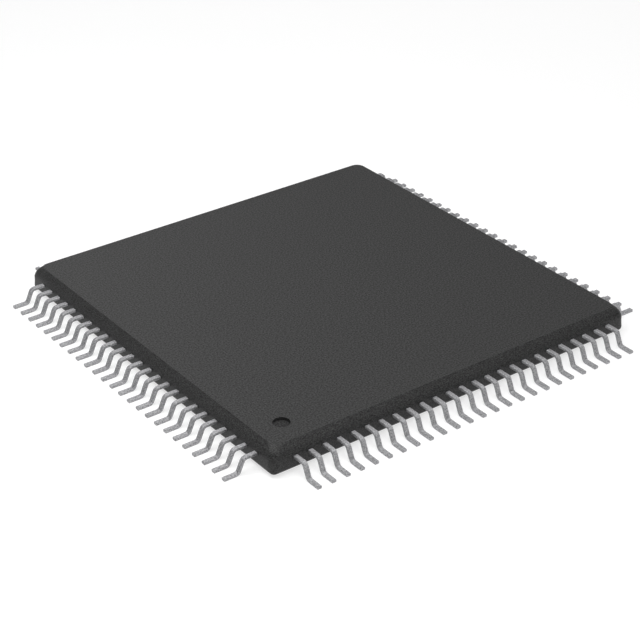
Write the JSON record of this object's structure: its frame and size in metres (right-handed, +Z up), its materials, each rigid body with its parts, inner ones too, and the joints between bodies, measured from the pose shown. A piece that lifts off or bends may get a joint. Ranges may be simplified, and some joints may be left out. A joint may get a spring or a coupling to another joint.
{
  "type": "integrated circuit",
  "caption": "Thin square plastic flat package chip with fine-pitch gull-wing leads on all four sides and a pin 1 dimple on top.",
  "frame": {"origin": "centre of the package on the plane that the lead feet stand on", "axes": "+Z up through the top face; the pin 1 mark is at the -X, -Y corner, and pins count counter-clockwise from above, starting along the -Y side towards +X"},
  "size_m": [0.0158, 0.0158, 0.0009],
  "materials": {
    "mold_compound": "dark grey epoxy moulding compound, finely spark-eroded matte skin",
    "tin_plated_lead": "matte tin plate over a copper alloy lead frame",
    "lead_frame_copper": "bare rolled copper alloy",
    "silver_epoxy": "silver-filled die attach epoxy",
    "silicon": "polished silicon with a passivated top",
    "gold_wire": "drawn gold bond wire"
  },
  "bodies": {
    "root": {"mold_body": "mold_compound", "leads_1_to_25": "tin_plated_lead", "leads_26_to_50": "tin_plated_lead", "leads_51_to_75": "tin_plated_lead", "leads_76_to_100": "tin_plated_lead", "die_paddle": "lead_frame_copper", "die_attach": "silver_epoxy", "silicon_die": "silicon", "bond_wires_1_to_25": "gold_wire", "bond_wires_26_to_50": "gold_wire", "bond_wires_51_to_75": "gold_wire", "bond_wires_76_to_100": "gold_wire"}
  },
  "joints": []
}
